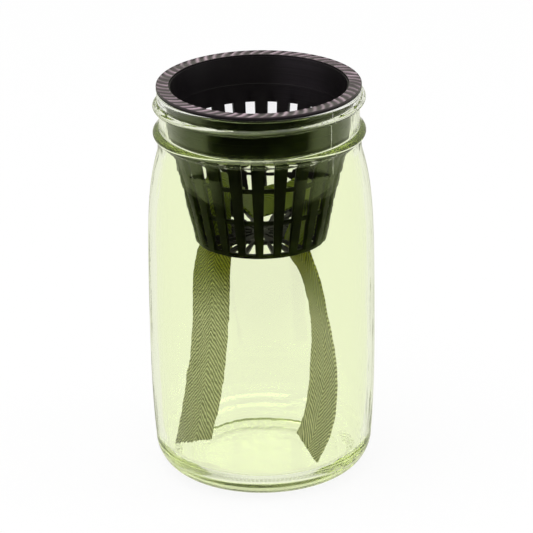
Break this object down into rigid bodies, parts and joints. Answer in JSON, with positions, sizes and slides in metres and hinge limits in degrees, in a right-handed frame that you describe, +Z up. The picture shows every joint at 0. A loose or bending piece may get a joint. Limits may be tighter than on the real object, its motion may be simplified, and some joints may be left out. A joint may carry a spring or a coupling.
{
  "type": "hydroponic jar planter",
  "caption": "Wide-mouth glass jar with a slotted net cup hanging in its mouth and a cotton tape wick laced through the cup's floor, for growing a plant in water.",
  "frame": {"origin": "middle of the ring that the jar stands on, at table height", "axes": "+Z up along the jar's axis; -Y is the side that the picture shows; +X to the right in it"},
  "size_m": [0.0926, 0.0926, 0.1653],
  "materials": {
    "clear_glass": "clear moulded glass with a faint yellow-green tint",
    "black_plastic": "semi-gloss moulded black polypropylene",
    "cotton_tape": "undyed herringbone twill cotton tape"
  },
  "bodies": {
    "jar": {"glass_jar": "clear_glass"},
    "cup": {"net_cup": "black_plastic", "wick": "cotton_tape"}
  },
  "joints": [
    {"name": "cup_lift", "type": "slide", "parent": "jar", "child": "cup", "axis": [0, 0, 1], "range_m": [0, 0.18]}
  ]
}
